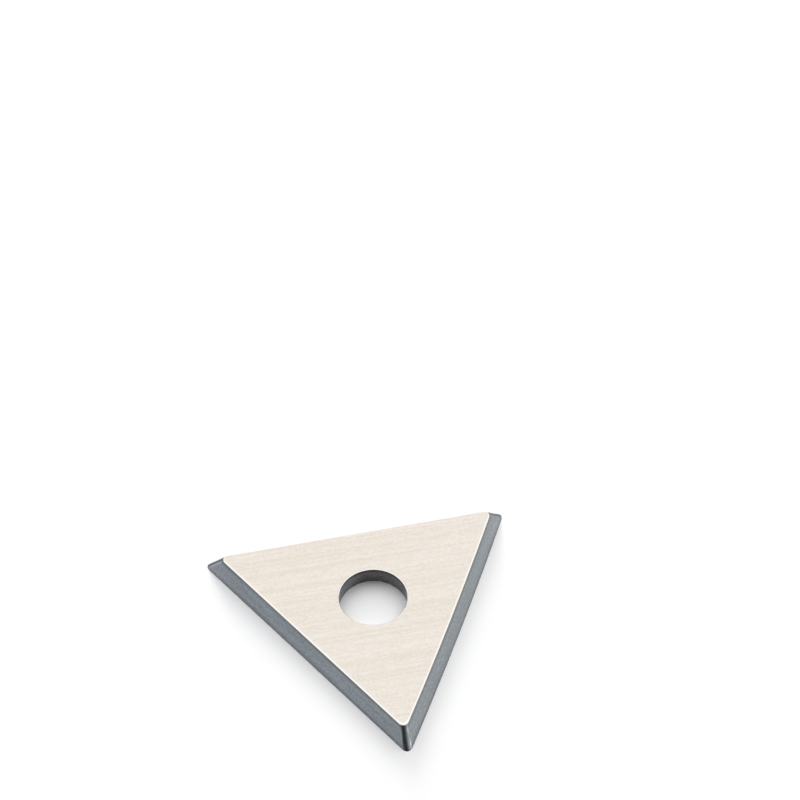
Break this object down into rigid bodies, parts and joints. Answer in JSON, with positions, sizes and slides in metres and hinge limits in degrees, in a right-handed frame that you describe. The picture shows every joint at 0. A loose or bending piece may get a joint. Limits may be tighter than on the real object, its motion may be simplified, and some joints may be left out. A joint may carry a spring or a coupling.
{
  "type": "triangular scraper blade",
  "caption": "Flat triangular carbide scraper blade with ground bevels up from its three cutting edges, one of them slightly crowned, rounded corner ridges and a central screw hole.",
  "frame": {"origin": "on the axis of the screw hole, in the plane of the large face that the blade lies on", "axes": "+Z along the screw hole, from the large face to the small one; +Y at a right angle to the back cutting edge, away from the front corner"},
  "size_m": [0.0242, 0.021, 0.0016],
  "materials": {
    "ground_carbide": "surface-ground faces with a fine parallel grain, lapped grey bevels, as-sintered hole"
  },
  "bodies": {
    "root": {"scraper_blade": "ground_carbide"}
  },
  "joints": []
}
